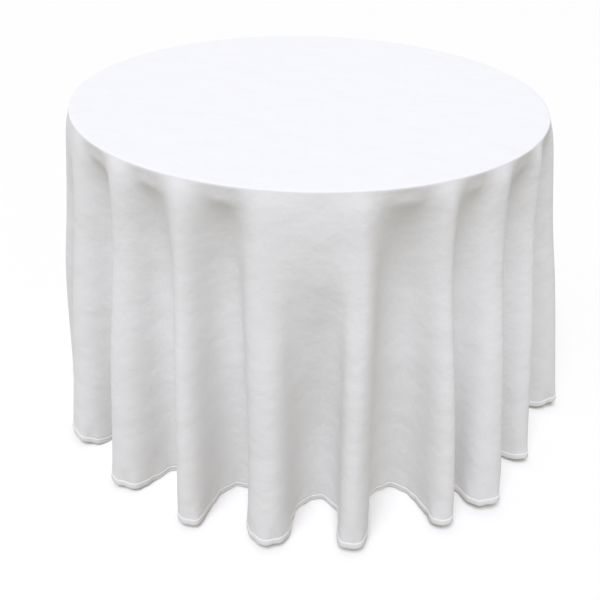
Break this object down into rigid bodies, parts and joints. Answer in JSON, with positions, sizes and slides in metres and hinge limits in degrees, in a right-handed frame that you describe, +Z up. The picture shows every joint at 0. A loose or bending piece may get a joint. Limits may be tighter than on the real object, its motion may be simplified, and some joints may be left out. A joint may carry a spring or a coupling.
{
  "type": "tablecloth on a table",
  "caption": "Round floor-length tablecloth draped in deep flutes over a round folding table with hinged leg frames and hook stays.",
  "frame": {"origin": "on the floor under the middle of the table top", "axes": "+Z up, -Y towards the side seen from the front, leg frames at -X and +X"},
  "size_m": [1.412, 1.4098, 0.764],
  "materials": {
    "cloth_fabric": "fine plain weave, matt, white",
    "cloth_thread": "white sewing thread",
    "plywood": "clear sealed",
    "hardwood": "clear sealed",
    "edge_vinyl": "moulded, satin",
    "frame_paint": "powder coat, fine texture",
    "zinc_plate": "bright zinc plate",
    "foot_rubber": "moulded, matt"
  },
  "bodies": {
    "table_top": {"top_panel": "plywood", "edge_band": "edge_vinyl", "batten_left": "hardwood", "batten_right": "hardwood", "leg_bracket_a_left": "zinc_plate", "leg_bracket_a_right": "zinc_plate", "stay_bracket_a": "zinc_plate", "stay_pin_a": "zinc_plate", "leg_bracket_b_left": "zinc_plate", "leg_bracket_b_right": "zinc_plate", "stay_bracket_b": "zinc_plate", "stay_pin_b": "zinc_plate", "pivot_bolts": "zinc_plate", "pivot_nuts": "zinc_plate", "bracket_screws": "zinc_plate", "stay_screws": "zinc_plate", "batten_screws": "zinc_plate"},
    "leg_frame_a": {"leg_a_left": "frame_paint", "foot_a_left": "foot_rubber", "leg_a_right": "frame_paint", "foot_a_right": "foot_rubber", "crossbar_a": "frame_paint", "crossbar_collars_a": "zinc_plate"},
    "leg_frame_b": {"leg_b_left": "frame_paint", "foot_b_left": "foot_rubber", "leg_b_right": "frame_paint", "foot_b_right": "foot_rubber", "crossbar_b": "frame_paint", "crossbar_collars_b": "zinc_plate"},
    "stay_a": {"hook_stay_a": "zinc_plate"},
    "stay_b": {"hook_stay_b": "zinc_plate"},
    "cloth": {"cloth_panel": "cloth_fabric", "cloth_hem": "cloth_fabric", "hem_thread": "cloth_thread"}
  },
  "joints": [
    {"name": "fold_a", "type": "hinge", "parent": "table_top", "child": "leg_frame_a", "pos_m": [-0.26, 0, 0.708], "axis": [0, -1, 0], "range_deg": [0, 90]},
    {"name": "fold_b", "type": "hinge", "parent": "table_top", "child": "leg_frame_b", "pos_m": [0.26, 0, 0.678], "axis": [0, 1, 0], "range_deg": [0, 90]},
    {"name": "stay_swing_a", "type": "hinge", "parent": "table_top", "child": "stay_a", "pos_m": [-0.02, 0, 0.731], "axis": [0, 1, 0], "range_deg": [0, 40]},
    {"name": "stay_swing_b", "type": "hinge", "parent": "table_top", "child": "stay_b", "pos_m": [0.02, 0, 0.731], "axis": [0, -1, 0], "range_deg": [0, 40]},
    {"name": "cloth_lift", "type": "slide", "parent": "table_top", "child": "cloth", "axis": [0, 0, 1], "range_m": [0, 0.82]}
  ],
  "couplings": [
    {"joint": "stay_swing_a", "follows": "fold_a", "ratio": 0.44359},
    {"joint": "stay_swing_b", "follows": "fold_b", "ratio": 0.44359}
  ]
}
